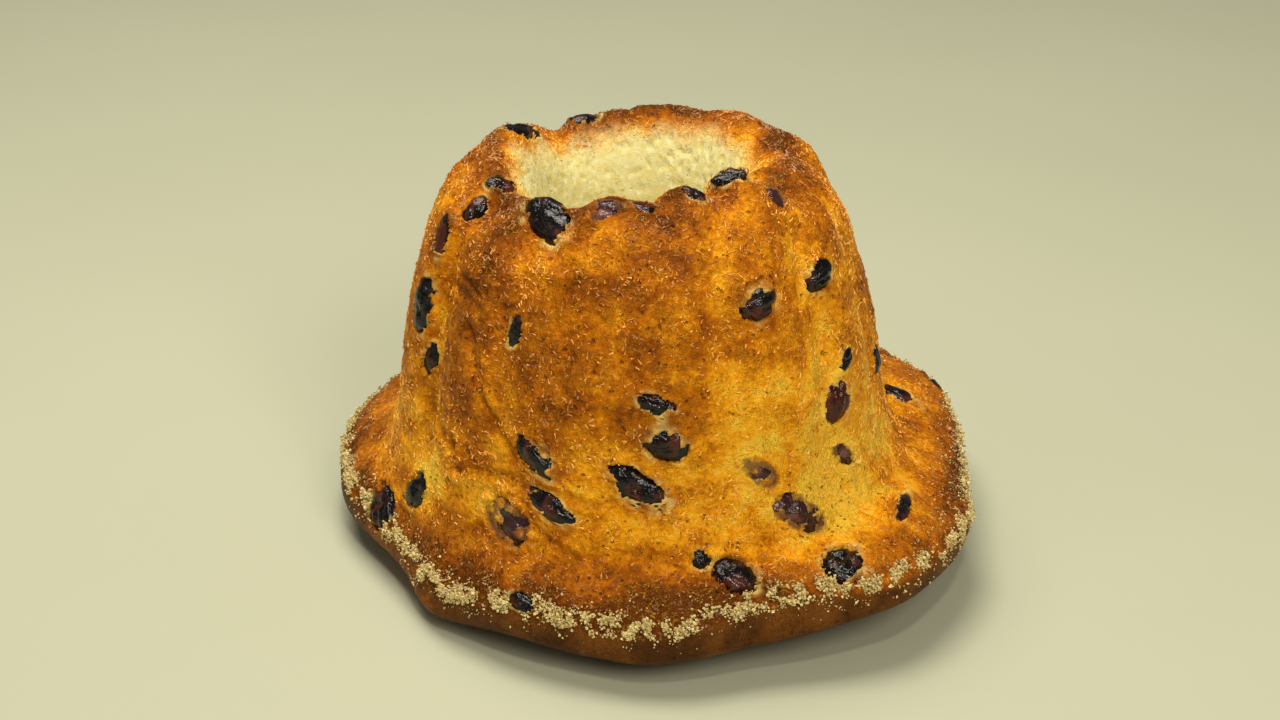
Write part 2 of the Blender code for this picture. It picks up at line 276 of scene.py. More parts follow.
def raisin_finish(name, deep, thin):
    """Wrinkled skin: darker where thick, dull blue-grey patches of bloom and painted sheen, and a fine grain.
    """
    made, tree, shader = new_material(name, SKIN_GLOSS, SKIN_SPECULAR)
    place = add_node(tree, "ShaderNodeTexCoord").outputs["Object"]
    patches = add_noise(tree, place, THIN_PER_METRE, 3.0)
    bloom_and_sheen = add_between(tree, add_noise(tree, place, BLOOM_AND_SHEEN_PER_METRE, 4.0, 0.65), *BLOOM_AND_SHEEN_LIMITS)
    grain = add_noise(tree, place, GRAIN_PER_METRE, 3.0, 0.6)
    wrinkle = add_noise(tree, place, WRINKLES_PER_METRE, 2.0, 0.5, WRINKLE_TWIST)
    colour = add_blend(tree, add_between(tree, patches, *THIN_LIMITS), deep, thin)
    # Blue-grey patches, partly bloom and partly painted sheen.
    colour = add_blend(tree, add_maths(tree, "MULTIPLY", bloom_and_sheen, BLOOM_AND_SHEEN_SHARE), colour, BLOOM_AND_SHEEN_COLOUR)
    tree.links.new(colour, shader.inputs["Base Color"])
    rough = add_maths(tree, "MULTIPLY_ADD", bloom_and_sheen, BLOOM_DULLNESS, SKIN_GLOSS)
    tree.links.new(rough, shader.inputs["Roughness"])
    height = add_maths(tree, "MULTIPLY_ADD", grain, GRAIN_HEIGHT, wrinkle)
    joined = {"Height": height, "Strength": SKIN_BUMP_STRENGTH, "Distance": SKIN_BUMP}
    bump = add_node(tree, "ShaderNodeBump", joined)
    tree.links.new(bump.outputs[0], shader.inputs["Normal"])
    return made


finish_of = {kind: raisin_finish(kind, *colours) for kind, colours in RAISIN_COLOURS.items()}
raisins = []
for name in sorted(frame["nodes"]):
    if not name.startswith("raisin_"):
        continue
    raisin = skinned_raisin(frame["nodes"][name])
    raisin.data.materials.append(finish_of[kind_of[name]])
    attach(raisin, "root")
    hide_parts(name)
    raisins.append((raisin, kind_of[name]))


# The cake's shape. One ring of yeast dough, baked in a fluted mould and turned out: a crown with
# thirteen soft ribs, a brim that rose over the mould's edge, and a hole left by the mould's tube.
SECTION = (
    (0.0170, 0.0020), (0.0155, 0.0090), (0.0165, 0.0350), (0.0200, 0.0700), (0.0240, 0.0950),
    (0.0295, 0.1080), (0.0370, 0.1145), (0.0450, 0.1110), (0.0535, 0.1020), (0.0590, 0.0880),
    (0.0640, 0.0700), (0.0660, 0.0520), (0.0685, 0.0400), (0.0720, 0.0320), (0.0790, 0.0270),
    (0.0855, 0.0215), (0.0870, 0.0160), (0.0840, 0.0113), (0.0705, 0.0045), (0.0640, 0.0010),
    (0.0450, 0.0000), (0.0300, 0.0000), (0.0210, 0.0004),
)
GROOVE_DEPTHS = (
    0.0012, 0.0014, 0.0026, 0.0022, 0.0026, 0.0030, 0.0024,
    0.0028, 0.0026, 0.0030, 0.0028, 0.0042, 0.0018,
)
FIRST_GROOVE = -9.0
GROOVE_HALF_WIDTH = 0.20
RIM_NOTCH = 0.5
BRIM_REACH = (
    -0.0020, -0.0015, 0.0070, 0.0050, 0.0015, 0.0070, 0.0120, 0.0090,
    0.0050, 0.0030, 0.0045, 0.0040, -0.0020, -0.0110, -0.0095, -0.0065,
)
BRIM_LIFT = (
    -0.0030, -0.0005, 0.0035, 0.0015, 0.0015, 0.0025, 0.0020, 0.0010,
    0.0005, 0.0000, -0.0005, -0.0020, -0.0040, -0.0050, -0.0055, -0.0030,
)
CROWN_REACH = (0.0000, 0.0000, -0.0030, 0.0000, -0.0005, 0.0025, 0.0010, -0.0015)
CROWN_LIFT = (0.0000, 0.0000, -0.0020, -0.0015, -0.0035, -0.0040, 0.0005, 0.0000)
RIM_LIFT = (
    0.0011, 0.0005, 0.0035, 0.0022, -0.0010, 0.0039, 0.0044, 0.0015, -0.0010, 0.0023, 0.0010, 0.0003,
    0.0000, -0.0001, 0.0009, 0.0021, 0.0007, 0.0025, 0.0018, 0.0011, 0.0009, 0.0018, 0.0013, 0.0008,
    0.0017, 0.0017, -0.0001, -0.0006, 0.0003, -0.0016, -0.0005, 0.0013, 0.0025, 0.0023, 0.0010, -0.0004,
    -0.0010, -0.0020, -0.0030, -0.0046, -0.0037, -0.0038, -0.0034, -0.0029, -0.0041, -0.0026, 0.0006, 0.0023,
)
HOLE_SHIFT = -0.0035
LUMP_HEIGHT = 0.0009
LUMP_LENGTH = 0.021
LUMP_APART = (5.0, 3.0, 1.0)
FOOT_BULGE = 0.0035
FOOT_BULGE_AZIMUTH = -47.0
FOOT_BULGE_HALF_WIDTH = 7.0
FLUTED_RADII = (0.030, 0.050)
FLUTED_HEIGHTS = (0.024, 0.044)
GROOVE_FADE_RADII = (0.062, 0.084)
GROOVE_ON_BRIM = 0.3
BRIM_RADII = (0.066, 0.086)
BRIM_LIFT_RADII = (0.060, 0.086)
CROWN_RADII = (0.035, 0.060)
CROWN_HEIGHTS = (0.010, 0.030)
CROWN_LIFT_HEIGHTS = (0.040, 0.114)
CREST_HEIGHTS = (0.096, 0.112)
HOLE_RADII = (0.032, 0.050)
HOLE_HEIGHTS = (0.020, 0.060)
UNDER_BRIM_RADII = (0.062, 0.073)
UNDER_BRIM_HEIGHTS = (0.009, 0.018)
FLOOR_HEIGHTS = (0.001, 0.012)

# How many rings each stretch of the section has before it is cut finer: (from, to, rings).
STRETCHES = ((0.0, 3.5, 7), (3.5, 6.0, 13), (6.0, 12.0, 48), (12.0, 16.5, 21), (16.5, 23.0, 8))
STEPS_ROUND = 160
FINER = 2


def smooth(value, low, high):
    """0 below low, 1 above high, and an even S between."""
    share = np.clip((value - low) / (high - low), 0.0, 1.0)
    return share * share * (3.0 - 2.0 * share)


def on_curve(points, station):
    """The smooth closed curve through the points, at each station."""
    points = np.asarray(points)
    first = np.floor(station).astype(int)
    u = (station - first).reshape((-1,) + (1,) * (points.ndim - 1))
    a, b, c, d = (points[(first + step) % len(points)] for step in (-1, 0, 1, 2))
    return 0.5 * (2 * b + (c - a) * u + (2 * a - 5 * b + 4 * c - d) * u**2 + (3 * b - a - 3 * c + d) * u**3)


def groove_depth(azimuth):
    """How deep the nearest groove cuts here, and how near its middle is, from 0 to 1."""
    place = (azimuth - FIRST_GROOVE) / (360.0 / len(GROOVE_DEPTHS))
    nearest = np.round(place).astype(int)
    near = np.exp(-(((place - nearest) / GROOVE_HALF_WIDTH) ** 2))
    return np.asarray(GROOVE_DEPTHS)[nearest % len(GROOVE_DEPTHS)] * near, near


def pressed(points):
    """The even shape's points moved to where they lie on the real, uneven cake."""
    x, y, height = points.T
    even_radius = np.hypot(x, y)
    azimuth = np.degrees(np.arctan2(x, -y))
    depth = groove_depth(azimuth)[0]
    brim = smooth(even_radius, *BRIM_RADII)
    off_floor = smooth(height, *FLOOR_HEIGHTS)
    fluted = smooth(even_radius, *FLUTED_RADII) * smooth(height, *FLUTED_HEIGHTS)
    crown = smooth(even_radius, *CROWN_RADII) * smooth(height, *CROWN_HEIGHTS) * (1.0 - brim)
    under_brim = smooth(even_radius, *UNDER_BRIM_RADII) * (1.0 - smooth(height, *UNDER_BRIM_HEIGHTS))
    inner = smooth(height, *HOLE_HEIGHTS) * (1.0 - smooth(even_radius, *HOLE_RADII))
    from_bulge = (azimuth - FOOT_BULGE_AZIMUTH) / FOOT_BULGE_HALF_WIDTH

    def round_cake(values):
        return on_curve(values, azimuth / 360.0 * len(values))

    radius = even_radius.copy()
    radius -= depth * fluted * (1.0 - (1.0 - GROOVE_ON_BRIM) * smooth(even_radius, *GROOVE_FADE_RADII))
    radius += brim * round_cake(BRIM_REACH)
    radius += crown * round_cake(CROWN_REACH)
    radius += under_brim * FOOT_BULGE * np.exp(-(from_bulge**2))
    radius += off_floor * LUMP_HEIGHT * noise_at(points, LUMP_LENGTH)

    rise = smooth(even_radius, *BRIM_LIFT_RADII) * round_cake(BRIM_LIFT)
    rise += smooth(height, *CROWN_LIFT_HEIGHTS) * round_cake(CROWN_LIFT)
    rise += smooth(height, *CREST_HEIGHTS) * (round_cake(RIM_LIFT) - RIM_NOTCH * depth)
    rise += off_floor * LUMP_HEIGHT * noise_at(points, LUMP_LENGTH, LUMP_APART)

    turn = np.radians(azimuth)
    return np.stack((
        AXIS_X + radius * np.sin(turn) + HOLE_SHIFT * inner,
        AXIS_Y - radius * np.cos(turn),
        np.maximum(height + rise, 0.0),
    ), axis=1)


def spun_section():
    """The section spun round the axis, with each point's station kept as an attribute."""
    rings = np.concatenate([np.linspace(low, high, count, endpoint=False) for low, high, count in STRETCHES])
    rings = np.append(rings, float(len(SECTION)))
    shape = bmesh.new()
    station_layer = shape.verts.layers.float.new("station")
    corners = []
    for station, (radius, height) in zip(rings, on_curve(SECTION, rings)):
        corner = shape.verts.new((radius, 0.0, height))
        corner[station_layer] = station
        corners.append(corner)
    edges = [shape.edges.new(pair) for pair in zip(corners, corners[1:])]
    bmesh.ops.spin(
        shape, geom=corners + edges, cent=(0.0, 0.0, 0.0), axis=(0.0, 0.0, 1.0),
        angle=math.tau, steps=STEPS_ROUND, use_merge=True,
    )
    bmesh.ops.recalc_face_normals(shape, faces=shape.faces)
    mesh = bpy.data.meshes.new("cake_whole")
    shape.to_mesh(mesh)
    shape.free()
    return made_finer(mesh, "SIMPLE", FINER)


def vertex_normals(mesh):
    found = np.empty(len(mesh.vertices) * 3)
    mesh.vertex_normals.foreach_get("vector", found)
    return found.reshape(-1, 3)


whole = spun_section()
stations = np.empty(len(whole.vertices), np.float32)
whole.attributes["station"].data.foreach_get("value", stations)
flat_x, flat_y, _ = coordinates(whole).T
azimuths = np.degrees(np.arctan2(flat_x, -flat_y))
radii, heights = on_curve(SECTION, stations).T
turns = np.radians(azimuths)
points = pressed(np.stack((radii * np.sin(turns), -radii * np.cos(turns), heights), axis=1))
whole.vertices.foreach_set("co", points.ravel())
whole.update()


# The crust's relief. Dough that filled the flutes and split as it rose: soft lumps, small pits
# where bubbles burst, and long folds on the ribs. The hole's wall is torn, open crumb.
RELIEF = (
    (0.0070, 0.00040, (1.0, 0.0, 0.0)),
    (0.0028, 0.00024, (0.0, 2.0, 0.0)),
    (0.0014, 0.00013, (0.0, 0.0, 3.0)),
)
CRUMB_LINE = (
    14.95, 14.55, 15.00, 15.20, 15.20, 15.20, 15.20, 15.20,
    15.20, 15.20, 15.20, 15.00, 14.80, 15.00, 15.20, 14.90,
)
CRUMB_LINE_WAVER = 0.10
BASE_FROM_CRUMBS = (0.15, 0.55)
OPEN_CRUMB_ENDS = (4.75, 5.70)
OPEN_CRUMB_WAVER = 0.30
OPEN_CRUMB_STARTS = (0.0, 0.4)
PIT_LENGTH = 0.0017
PIT_LIMITS = (0.30, 0.62)
PIT_DEPTH = 0.00045
FOLD_LENGTH = 0.011
FOLD_TALLNESS = 1.8
FOLD_SHARPNESS = 0.07
FOLD_LIMITS = (-0.1, 0.3)
FOLD_CUT = 0.00045
BUBBLE_LENGTH = 0.0021
BUBBLE_LIMITS = (0.10, 0.50)
BUBBLE_DEPTH = 0.0005
BRIM_ROLL = 0.0007
BRIM_ROLL_STATION = 14.1
BRIM_ROLL_REACH = 0.6
BRIM_CREASE = 0.0006
BRIM_CREASE_STATION = 12.9
BRIM_CREASE_REACH = 0.25
ROLLED_LIMITS = (-0.5, 0.2)
RELIEF_OFF_CRUST = 0.3
RELIEF_HEIGHTS = (0.0004, 0.004)

# Deep creases of the front: from azimuth and station, to azimuth and station, depth and width.
CREASES = (
    (-49.0, 9.4, -42.0, 10.3, 0.0009, 0.0015),
    (-42.0, 10.3, -32.0, 10.9, 0.0007, 0.0013),
    (-68.0, 11.0, -51.0, 11.1, 0.0011, 0.0015),
    (-51.0, 11.1, -48.0, 11.6, 0.0009, 0.0013),
    (-50.0, 11.6, -33.0, 11.4, 0.0010, 0.0013),
    (-33.0, 11.4, -11.0, 11.5, 0.0009, 0.0012),
    (-37.0, 11.8, -24.0, 12.3, 0.0009, 0.0012),
    (-24.0, 12.3, -15.0, 13.0, 0.0007, 0.0011),
    (-65.0, 9.1, -46.0, 9.1, 0.0004, 0.0009),
    (-62.0, 8.7, -48.0, 8.9, 0.0004, 0.0008),
    (-67.0, 8.4, -67.0, 9.9, 0.0011, 0.0016),
    (-30.0, 7.4, -23.0, 7.8, 0.0011, 0.0018),
    (-23.0, 7.8, -17.0, 7.1, 0.0009, 0.0016),
    (49.0, 7.7, 42.0, 9.0, 0.0007, 0.0016),
    (42.0, 9.0, 38.0, 10.1, 0.0006, 0.0016),
    (89.0, 9.8, 98.0, 12.0, 0.0010, 0.0016),
    (98.0, 12.0, 112.0, 13.4, 0.0010, 0.0016),
    (22.0, 11.8, 26.0, 12.8, 0.0009, 0.0013),
    (26.0, 12.8, 31.0, 13.7, 0.0007, 0.0012),
    (60.0, 13.2, 51.0, 13.9, 0.0010, 0.0011),
    (43.0, 11.6, 49.0, 12.4, 0.0009, 0.0012),
    (49.0, 12.4, 51.0, 13.5, 0.0009, 0.0012),
)
CREASE_WAVE = 0.0016
CREASE_BULGE = 0.45
CREASE_REACH = 0.007


def spot_at(azimuth, station):
    """The number of the vertex at this place of the crust."""
    return np.argmin(np.abs((azimuths - azimuth + 180.0) % 360.0 - 180.0) / 30.0 + np.abs(stations - station))


def crease(azimuth, station, to_azimuth, to_station, depth, width):
    """How far the crust goes in along a wavy line, with a soft bulge on both sides of it."""
    start, end = spot_at(azimuth, station), spot_at(to_azimuth, to_station)
    along = points[end] - points[start]
    length = np.linalg.norm(along)
    outward = normals[start] + normals[end]
    outward = outward / np.linalg.norm(outward)
    across = np.cross(along / length, outward)
    from_start = points - points[start]
    share = from_start @ along / length**2
    beyond = np.abs(share - np.clip(share, 0.0, 1.0)) * length
    gap = np.hypot(from_start @ across + CREASE_WAVE * wave, beyond)
    profile = np.exp(-((gap / width) ** 2)) - CREASE_BULGE * np.exp(-((gap / width - 2.0) ** 2))
    return depth * profile * (np.abs(from_start @ outward) < CREASE_REACH)


normals = vertex_normals(whole)
crumb = 1.0 - smooth(stations + OPEN_CRUMB_WAVER * noise_at(points, 0.007), *OPEN_CRUMB_ENDS)
crumb *= smooth(stations, *OPEN_CRUMB_STARTS)
crumb_line = on_curve(CRUMB_LINE, azimuths / 360.0 * len(CRUMB_LINE))
past_crumbs = stations - crumb_line + CRUMB_LINE_WAVER * noise_at(points, 0.004)
base = smooth(past_crumbs, *BASE_FROM_CRUMBS)
crusted = (1.0 - crumb) * (1.0 - base)
relief = sum(height * noise_at(points, length, apart) for length, height, apart in RELIEF)
relief -= PIT_DEPTH * smooth(noise_at(points, PIT_LENGTH, (7.0, 7.0, 7.0)), *PIT_LIMITS)
folding = points * (1.0, 1.0, 1.0 / FOLD_TALLNESS)
folds = np.exp(-((noise_at(folding, FOLD_LENGTH, (3.0, 9.0, 4.0)) / FOLD_SHARPNESS) ** 2))
folds *= smooth(noise_at(points, 0.020, (8.0, 1.0, 2.0)), *FOLD_LIMITS)
relief -= FOLD_CUT * folds
wave = noise_at(points, 0.0065, (2.0, 7.0, 3.0))
for row in CREASES:
    relief -= crease(*row)
rolled = smooth(noise_at(points, 0.030, (6.0, 3.0, 8.0)), *ROLLED_LIMITS)
wandering = stations + 0.3 * noise_at(points, 0.014, (8.0, 8.0, 1.0))
relief += BRIM_ROLL * rolled * np.exp(-(((wandering - BRIM_ROLL_STATION) / BRIM_ROLL_REACH) ** 2))
relief -= BRIM_CREASE * rolled * np.exp(-(((wandering - BRIM_CREASE_STATION) / BRIM_CREASE_REACH) ** 2))
bubbles = smooth(noise_at(points, BUBBLE_LENGTH, (2.0, 6.0, 1.0)), *BUBBLE_LIMITS)
relief *= RELIEF_OFF_CRUST + (1.0 - RELIEF_OFF_CRUST) * crusted
relief -= BUBBLE_DEPTH * bubbles * crumb
relief *= smooth(points[:, 2], *RELIEF_HEIGHTS)
points += normals * relief[:, None]


# The crust over the raisins. The dough closed over the edge of each raisin as a thin film, and
# tore open above it with a ragged, pale edge. A veiled raisin shows through holes in its film.
FILM_THICKNESS = 0.00040
FILM_FALL = 1.45
LIP_HEIGHT = 0.00065
OPENINGS = {"raisin_dark": 0.98, "raisin_red": 1.0, "raisin_veiled": 0.55}
RAGGED = ((0.0012, 0.28), (0.0028, 0.50), (0.0060, 0.36))
VEIL_HOLE_LENGTH = 0.0026
VEIL_HOLES = 0.55
NEAR_RAISIN = 0.016
FACING_OUT = 0.1
RAY_FROM = 0.02
FILM_SHOWS = {"raisin_dark": 0.25, "raisin_red": 0.25, "raisin_veiled": 1.0}
FILM_FADES = (0.80, 1.10)
FLAP_SHARES = (-0.2, 0.7)
LIP_HALF_WIDTH = 0.14
FLAP_LIP = 0.30
FLAP_PALER = 2.0
LIP_FURTHEST = 1.06
LIP_PATCH = 0.006
LIPS_APART = 300.0
LIP_LIMITS = (-0.25, 0.3)
VEILED_LIP = 0.15
SINK_UNDER = 0.0005

# Flaps of crust over raisins: the side each comes from, in degrees anticlockwise from the right as
# seen from outside, and how much it hides.
FLAPS = {
    "crown_round": (100.0, 0.80),
    "crown_corner": (150.0, 0.55),
    "foot_left": (40.0, 0.55),
    "foot_centre": (235.0, 0.55),
    "foot_middle": (80.0, 0.50),
    "foot_wavy": (265.0, 0.60),
    "foot_low": (250.0, 0.40),
    "red_large": (20.0, 0.35),
    "brim_round": (320.0, 0.45),
    "rib_small": (190.0, 0.30),
    "side_dark": (250.0, 0.30),
    "veil_right": (260.0, 0.50),
    "veil_left": (120.0, 0.45),
}

film = np.zeros(len(points))
lip = np.zeros(len(points))
for raisin, kind in raisins:
    skin = coordinates(raisin.data)
    centre = skin.mean(axis=0)
    near = np.flatnonzero(np.linalg.norm(points - centre, axis=1) < NEAR_RAISIN)
    outward = normals[near[np.argmin(np.linalg.norm(points[near] - centre, axis=1))]]
    flat = skin - centre
    flat = flat - (flat @ outward)[:, None] * outward
    long_axis = np.linalg.eigh(flat.T @ flat)[1][:, 2]
    axes = np.stack((long_axis, np.cross(outward, long_axis), outward), axis=1)
    half = np.abs((skin - centre) @ axes).max(axis=0)
    near = near[normals[near] @ outward > FACING_OUT]
    local = (points[near] - centre) @ axes
    share = np.hypot(local[:, 0] / half[0], local[:, 1] / half[1])
    inside = share < FILM_FALL
    near, local, share = near[inside], local[inside], share[inside]
    tree = BVHTree.FromPolygons(skin.tolist(), [tuple(face.vertices) for face in raisin.data.polygons])
    tops = np.full(len(near), -1.0)
    for index, (side, across, _) in enumerate(local):
        start = centre + axes @ (side, across, RAY_FROM)
        hit = tree.ray_cast(Vector(start), Vector(-outward))[0]
        if hit is not None:
            tops[index] = (np.asarray(hit) - centre) @ outward
    opening = OPENINGS[kind] + sum(rough * noise_at(points[near], length) for length, rough in RAGGED)
    uphill = np.array((0.0, 0.0, 1.0)) - outward[2] * outward
    uphill /= np.linalg.norm(uphill)
    way, hidden = FLAPS.get(raisin.name[len("raisin_"):-len("_skin")], (0.0, 0.0))
    from_side = math.cos(math.radians(way)) * np.cross(uphill, outward) + math.sin(math.radians(way)) * uphill
    towards = (points[near] - centre) @ from_side / np.abs((skin - centre) @ from_side).max()
    flap = hidden * smooth(towards, *FLAP_SHARES)
    opening = opening - flap
    if kind == "raisin_veiled":
        opening = opening + VEIL_HOLES * noise_at(points[near], VEIL_HOLE_LENGTH, (6.0, 1.0, 6.0))
    covered = tops > -1.0
    opened = covered & (share < opening)
    height = local[:, 2]
    draped = np.where(covered, np.maximum(height, tops + FILM_THICKNESS), height)
    draped += np.where(covered, 0.0, LIP_HEIGHT * (1.0 - smooth(share, 1.0, FILM_FALL)))
    bottom = -half[2] * np.sqrt(np.clip(1.0 - share**2, 0.0, 1.0)) - SINK_UNDER
    height_now = np.where(opened, np.minimum(height, bottom), draped)
    points[near] += outward * (height_now - height)[:, None]
    shows = FILM_SHOWS[kind] * covered * (1.0 - smooth(share, *FILM_FADES))
    film[near] = np.maximum(film[near], shows)
    if kind == "raisin_veiled":
        torn = VEILED_LIP
    else:
        torn = smooth(noise_at(points[near], LIP_PATCH, centre * LIPS_APART), *LIP_LIMITS)
    torn = np.maximum(torn, np.minimum(1.0, FLAP_PALER * flap))
    from_lip = (share - np.clip(opening, 0.0, LIP_FURTHEST)) / (LIP_HALF_WIDTH + FLAP_LIP * flap)
    lip[near] = np.maximum(lip[near], torn * np.exp(-(from_lip**2)))

whole.vertices.foreach_set("co", points.ravel())
whole.update()
normals = vertex_normals(whole)


# How far each place is baked. The ribs and the brim's outer edge stood against hot metal and are
# browner; the grooves, the foot of the crown and the right-hand side stayed golden.
BAKED = 0.50
BAKED_GROOVE = -0.16
GROOVE_GOLD_STARTS, GROOVE_GOLD_ENDS = (6.5, 8.0), (12.0, 13.5)
BAKED_FOOT = -0.23
FOOT_STATION, FOOT_REACH = 12.2, 1.1
BAKED_BRIM_EDGE = 0.36
BRIM_EDGE_STATIONS = (-1.6, -0.2)
BAKED_CREST = 0.33
CREST_STATION, CREST_REACH = 6.2, 0.9
BAKED_LESS_INSIDE = 0.48
INSIDE_ENDS, INSIDE_WAVER = (5.0, 6.5), 0.3
GOLD_UNDERNEATH = 1.0
GOLD_UNDERNEATH_AT = (-60.0, 16.6, 0.022)
BAKED_PATCHES = ((0.016, 0.24, (4.0, 4.0, 9.0)), (0.0055, 0.22, (1.0, 8.0, 2.0)))

# Browner and more golden places: azimuth, station, reach, and how much more or less they are baked.
BROWN_PATCHES = (
    (-46.0, 9.5, 0.030, 0.20),
    (-50.0, 7.6, 0.014, 0.16),
    (-66.0, 7.0, 0.016, 0.06),
    (180.0, 6.3, 0.040, 0.32),
    (6.0, 7.1, 0.018, 0.10),
    (0.0, 13.5, 0.014, 0.10),
    (-6.0, 14.2, 0.018, 0.16),
    (-10.0, 8.6, 0.022, 0.12),
    (-2.0, 9.5, 0.020, 0.10),
    (-40.0, 14.6, 0.018, 0.26),
    (-16.0, 14.9, 0.022, 0.22),
    (8.0, 14.6, 0.018, 0.16),
    (82.0, 15.0, 0.026, 0.18),
)
GOLD_PATCHES = (
    (40.0, 10.5, 0.018, 0.27),
    (40.0, 12.6, 0.020, 0.20),
    (47.0, 12.2, 0.007, 0.10),
    (62.0, 12.0, 0.022, 0.12),
    (5.0, 12.4, 0.020, 0.04),
    (-64.0, 11.6, 0.014, 0.10),
    (-34.0, 7.8, 0.007, 0.25),
)


def patch(azimuth, station, reach):
    """1 at this place of the crust, falling smoothly to 0 with distance."""
    return np.exp(-((np.linalg.norm(points - points[spot_at(azimuth, station)], axis=1) / reach) ** 2))


near_groove = groove_depth(azimuths)[1]
bake = BAKED + sum(amount * noise_at(points, length, apart) for length, amount, apart in BAKED_PATCHES)
on_ribs = smooth(stations, *GROOVE_GOLD_STARTS) * (1.0 - smooth(stations, *GROOVE_GOLD_ENDS))
bake += BAKED_GROOVE * near_groove * on_ribs
bake += BAKED_FOOT * np.exp(-(((stations - FOOT_STATION) / FOOT_REACH) ** 2))
bake += BAKED_BRIM_EDGE * smooth(past_crumbs, *BRIM_EDGE_STATIONS)
bake += BAKED_CREST * np.exp(-(((stations - CREST_STATION) / CREST_REACH) ** 2))
for azimuth, station, reach, amount in BROWN_PATCHES:
    bake += amount * patch(azimuth, station, reach)
for azimuth, station, reach, amount in GOLD_PATCHES:
    bake -= amount * patch(azimuth, station, reach)
bake -= BAKED_LESS_INSIDE * (1.0 - smooth(stations + INSIDE_WAVER * noise_at(points, 0.009), *INSIDE_ENDS))
base *= 1.0 - GOLD_UNDERNEATH * patch(*GOLD_UNDERNEATH_AT)
for name, values in (("bake", bake), ("crumb", crumb), ("base", base), ("film", film), ("lip", lip)):
    whole.attributes.new(name, "FLOAT", "POINT").data.foreach_set("value", values.astype(np.float32))
whole.attributes.new("whole_normal", "FLOAT_VECTOR", "POINT").data.foreach_set(
    "vector", normals.astype(np.float32).ravel())


# The crust's finish. Golden where thin, amber to brown where it baked longest, with short pale
# fibres of torn dough all over, pin-sized pores with painted shade in them, and a faint buttery sheen.
BAKE_COLOURS = (
    (0.00, (0.990, 0.590, 0.045, 1.0)),
    (0.25, (0.970, 0.390, 0.007, 1.0)),
    (0.50, (0.590, 0.175, 0.002, 1.0)),
    (0.75, (0.330, 0.076, 0.002, 1.0)),
    (1.00, (0.120, 0.026, 0.002, 1.0)),
)
GLAZE_ROUGHNESS = 0.20
GLAZE_WEIGHT = 0.14
GLAZE_LIMITS = (0.58, 0.68)
SHEEN = 0.12
SHEEN_TINT = (1.0, 0.78, 0.42, 1.0)
SMOOTHEST = 0.25
SPECKLE_DULLER = 0.5
CRUMB_DULLER = 0.25
CRUST_BUMP = 0.0010
CRUMB_CALM = 0.75
CRUMB_COLOURS = ((0.74, 0.70, 0.37, 1.0), (0.70, 0.57, 0.17, 1.0))
# A darker yellow painted into the crumb's pores as shade.
CRUMB_PORE_SHADE_COLOUR = (0.58, 0.37, 0.06, 1.0)
BASE_COLOURS = ((0.075, 0.024, 0.005, 1.0), (0.190, 0.062, 0.009, 1.0))
FILM_TINT = (0.115, 0.048, 0.036, 1.0)
LIP_COLOUR = (1.00, 0.72, 0.22, 1.0)
FIBRE_COLOUR = (0.93, 0.52, 0.05, 1.0)
BLOTCH_TONE, SPECKLE_TONE = 1.05, 0.90
# The pore shares set how far painted shade darkens the pores of the crust and of the crumb.
FIBRE_SHARE, PORE_SHADE_SHARE, CRUMB_PORE_SHADE_SHARE = 0.26, 0.40, 0.45
VEIL_SHARE, LIP_SHARE = 0.85, 0.72
VEIL_PER_METRE, VEIL_LIMITS = 330.0, (0.22, 0.55)
CRUMB_TONE_LIMITS = (0.35, 0.75)
BASE_TONE_LIMITS = (0.35, 0.70)

# The grain's patterns: how many lumps a metre, and where each begins and is full.
SWIRLS_PER_METRE, SWIRL_REACH = 160.0, 0.005
BLOTCHES_PER_METRE = 95.0
SPECKLES_PER_METRE = 620.0
FIBRES_PER_METRE, FIBRE_LIMITS = 1800.0, (0.58, 0.70)
FIBRE_SQUEEZES = ((1.0, 1.0, 0.25), (0.25, 1.0, 1.0), (1.0, 0.30, 0.8))
STREWN_PER_METRE, STREWN_LIMITS = 150.0, (0.38, 0.62)
STREWN_MORE, STREWN_LEAST = 0.75, 0.35
PORES_PER_METRE, PORE_LIMITS = 520.0, (0.10, 0.30)
SPARSE_PER_METRE, SPARSE_LIMITS = 260.0, (0.50, 0.62)
FIBRE_HEIGHT = 0.30


